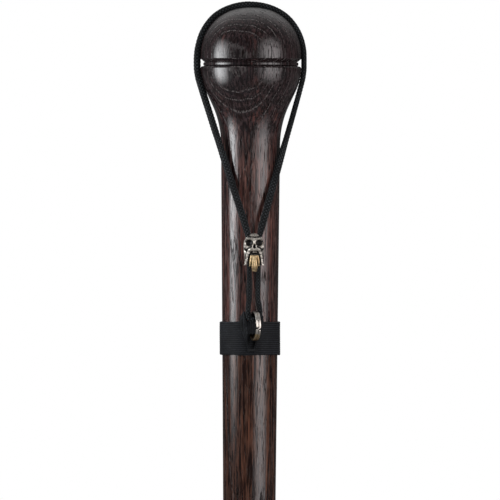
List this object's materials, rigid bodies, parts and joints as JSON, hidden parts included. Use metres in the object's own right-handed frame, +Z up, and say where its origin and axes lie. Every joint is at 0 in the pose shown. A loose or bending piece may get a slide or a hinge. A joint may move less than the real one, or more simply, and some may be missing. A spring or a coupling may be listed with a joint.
{
  "type": "walking cane",
  "caption": "Straight wooden walking cane with a round turned knob, a rubber ferrule and a black cord wrist strap with a sliding bead and a split ring.",
  "frame": {"origin": "middle of the ferrule's underside, on the ground", "axes": "+Z up along the cane's axis to the knob, -Y to the front, where the strap's ring and bead hang, +X to the right as seen from the front"},
  "size_m": [0.051, 0.0499, 0.9175],
  "materials": {
    "wood": "dark stained open-grain hardwood under satin varnish",
    "steel": "plain turned steel",
    "ring_plating": "polished nickel plating with a warm tint",
    "rubber": "matt moulded rubber",
    "woven_fabric": "black ribbed woven tape",
    "braided_cord": "black braided cord",
    "thread": "black polyester thread",
    "silver_tone": "cast white metal, antiqued dark in the hollows",
    "brass_tone": "cast brass tone, antiqued in the hollows"
  },
  "bodies": {
    "cane": {"knob_handle": "wood", "shaft": "wood", "joint_stud": "steel", "ferrule": "rubber", "ferrule_washer": "steel"},
    "strap": {"strap_band": "woven_fabric", "ring_loop": "woven_fabric", "bar_tack_foot": "thread", "bar_tack_left": "thread", "bar_tack_right": "thread", "wrist_cord": "braided_cord", "cord_hitch": "braided_cord"},
    "bead": {"bead_skull": "silver_tone", "bead_jaw": "brass_tone"},
    "ring": {"split_ring": "ring_plating"}
  },
  "joints": [
    {"name": "strap_swivel", "type": "hinge", "parent": "cane", "child": "strap", "pos_m": [0, 0, 0.766], "axis": [0, 0, 1], "continuous": true},
    {"name": "ring_turn", "type": "hinge", "parent": "strap", "child": "ring", "pos_m": [0.0022, -0.02056, 0.7717], "axis": [0.9659, 0.2588, 0], "continuous": true},
    {"name": "bead_slide", "type": "slide", "parent": "strap", "child": "bead", "axis": [0, 0, -1], "range_m": [0, 0.011]}
  ]
}
